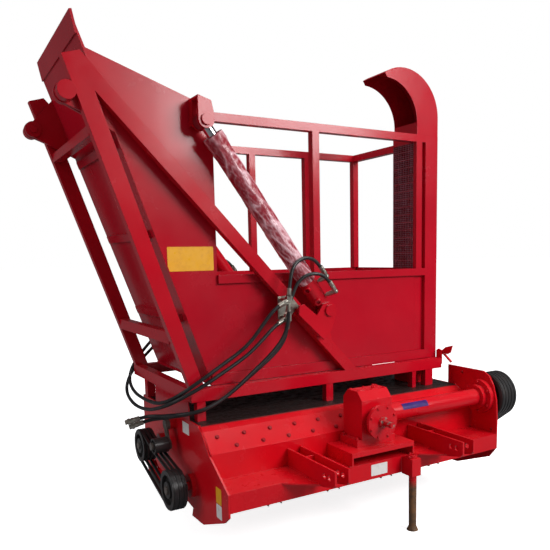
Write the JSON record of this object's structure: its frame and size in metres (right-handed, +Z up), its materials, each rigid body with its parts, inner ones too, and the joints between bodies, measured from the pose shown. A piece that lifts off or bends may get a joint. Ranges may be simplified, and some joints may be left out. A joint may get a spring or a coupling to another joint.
{
  "type": "forage harvester",
  "caption": "Tractor-mounted flail forage harvester: full-width rotor header with belt drives under a high side-tipping bin with a crop duct and curved spout.",
  "frame": {"origin": "centre of the bounding box at ground level", "axes": "+X across the machine towards the crop duct and drive pulley, +Y to the rear away from the tractor, +Z up"},
  "size_m": [2.5409, 1.7732, 2.627],
  "materials": {
    "red_paint": "gloss red paint",
    "dark_iron": "dark, part oxidised",
    "belt_rubber": "black rubber",
    "tyre": "black tyre rubber",
    "bare_steel": "machined",
    "rod_chrome": "hard chrome",
    "hose_rubber": "black hose"
  },
  "bodies": {
    "header": {"left_side_plate": "red_paint", "right_side_plate": "red_paint", "hood": "red_paint", "discharge_neck": "red_paint", "auger_trough": "red_paint", "hitch_brackets": "red_paint", "gearbox_table": "red_paint", "gearbox": "red_paint", "drive_tube": "red_paint", "drive_belt": "belt_rubber", "auger_belt": "belt_rubber", "idler_arm": "red_paint", "stand_socket": "red_paint", "wheel_arms": "red_paint", "base_frame": "red_paint", "front_tip_frame": "red_paint", "rear_tip_frame": "red_paint", "frame_crossbars": "red_paint", "lower_cylinder_brackets": "red_paint", "lift_front_hose": "hose_rubber", "lower_front_hose": "hose_rubber", "lift_rear_hose": "hose_rubber", "lower_rear_hose": "hose_rubber", "lift_feed_hose": "hose_rubber", "lower_feed_hose": "hose_rubber", "hose_tees": "bare_steel", "hose_elbows": "bare_steel", "hose_couplers": "bare_steel", "bin_latch": "red_paint"},
    "bin": {"bin_sill": "red_paint", "bin_left_wall": "red_paint", "bin_front_panel": "red_paint", "bin_rear_panel": "red_paint", "bin_cage": "red_paint", "bin_floor": "red_paint", "bin_right_wall": "red_paint", "crop_duct": "red_paint", "duct_screen": "red_paint", "spout_hood": "red_paint", "bin_hinge_lugs": "red_paint", "upper_cylinder_brackets": "red_paint"},
    "rotor": {"rotor": "red_paint", "flails": "bare_steel", "rotor_pulley_left": "dark_iron", "rotor_pulley_right": "dark_iron"},
    "drive_line": {"drive_shaft": "bare_steel", "drive_pulley": "dark_iron"},
    "input_shaft": {"input_shaft": "bare_steel"},
    "auger": {"auger": "red_paint", "auger_pulley": "dark_iron"},
    "idler": {"idler_pulley": "dark_iron"},
    "left_wheel": {"left_wheel_tyre": "tyre", "left_wheel_rim": "red_paint"},
    "right_wheel": {"right_wheel_tyre": "tyre", "right_wheel_rim": "red_paint"},
    "stand": {"parking_stand": "red_paint"},
    "front_barrel": {"front_cylinder_barrel": "red_paint"},
    "rear_barrel": {"rear_cylinder_barrel": "red_paint"},
    "front_rod": {"front_cylinder_rod": "rod_chrome"},
    "rear_rod": {"rear_cylinder_rod": "rod_chrome"}
  },
  "joints": [
    {"name": "bin_tip", "type": "hinge", "parent": "header", "child": "bin", "pos_m": [-1.2245, 0.296, 2.252], "axis": [0, -1, 0], "range_deg": [0, 90]},
    {"name": "front_cylinder_swing", "type": "hinge", "parent": "header", "child": "front_barrel", "pos_m": [0.1335, -0.2085, 1.2], "axis": [0, -1, 0], "range_deg": [0, 1.16]},
    {"name": "front_cylinder_slide", "type": "slide", "parent": "front_barrel", "child": "front_rod", "axis": [-0.5878, 0, 0.809], "range_m": [0, 0.9192]},
    {"name": "rear_cylinder_swing", "type": "hinge", "parent": "header", "child": "rear_barrel", "pos_m": [0.1335, 0.8005, 1.2], "axis": [0, -1, 0], "range_deg": [0, 1.16]},
    {"name": "rear_cylinder_slide", "type": "slide", "parent": "rear_barrel", "child": "rear_rod", "axis": [-0.5878, 0, 0.809], "range_m": [0, 0.9192]},
    {"name": "rotor_spin", "type": "hinge", "parent": "header", "child": "rotor", "pos_m": [0.2055, -0.1715, 0.32], "axis": [1, 0, 0], "continuous": true},
    {"name": "drive_shaft_spin", "type": "hinge", "parent": "header", "child": "drive_line", "pos_m": [0.7055, -0.4965, 0.625], "axis": [1, 0, 0], "continuous": true},
    {"name": "input_shaft_spin", "type": "hinge", "parent": "header", "child": "input_shaft", "pos_m": [0.2055, -0.6415, 0.625], "axis": [0, 1, 0], "continuous": true},
    {"name": "auger_spin", "type": "hinge", "parent": "header", "child": "auger", "pos_m": [0.2055, 0.2835, 0.44], "axis": [1, 0, 0], "continuous": true},
    {"name": "idler_spin", "type": "hinge", "parent": "header", "child": "idler", "pos_m": [-0.7945, 0.0185, 0.505], "axis": [1, 0, 0], "continuous": true},
    {"name": "left_wheel_spin", "type": "hinge", "parent": "header", "child": "left_wheel", "pos_m": [-0.5755, 0.6405, 0.195], "axis": [1, 0, 0], "continuous": true},
    {"name": "right_wheel_spin", "type": "hinge", "parent": "header", "child": "right_wheel", "pos_m": [0.9865, 0.6405, 0.195], "axis": [1, 0, 0], "continuous": true},
    {"name": "stand_slide", "type": "slide", "parent": "header", "child": "stand", "axis": [0, 0, 1], "range_m": [0, 0.2]}
  ],
  "couplings": [
    {"joint": "drive_shaft_spin", "follows": "rotor_spin", "ratio": 0.71533},
    {"joint": "input_shaft_spin", "follows": "rotor_spin", "ratio": 0.35766},
    {"joint": "auger_spin", "follows": "rotor_spin", "ratio": 1.1196},
    {"joint": "idler_spin", "follows": "rotor_spin", "ratio": -2.4524},
    {"joint": "front_cylinder_swing", "follows": "bin_tip", "ratio": 0.012659},
    {"joint": "front_cylinder_slide", "follows": "bin_tip", "m_per_rad": 0.58485},
    {"joint": "rear_cylinder_swing", "follows": "bin_tip", "ratio": 0.012659},
    {"joint": "rear_cylinder_slide", "follows": "bin_tip", "m_per_rad": 0.58485}
  ]
}
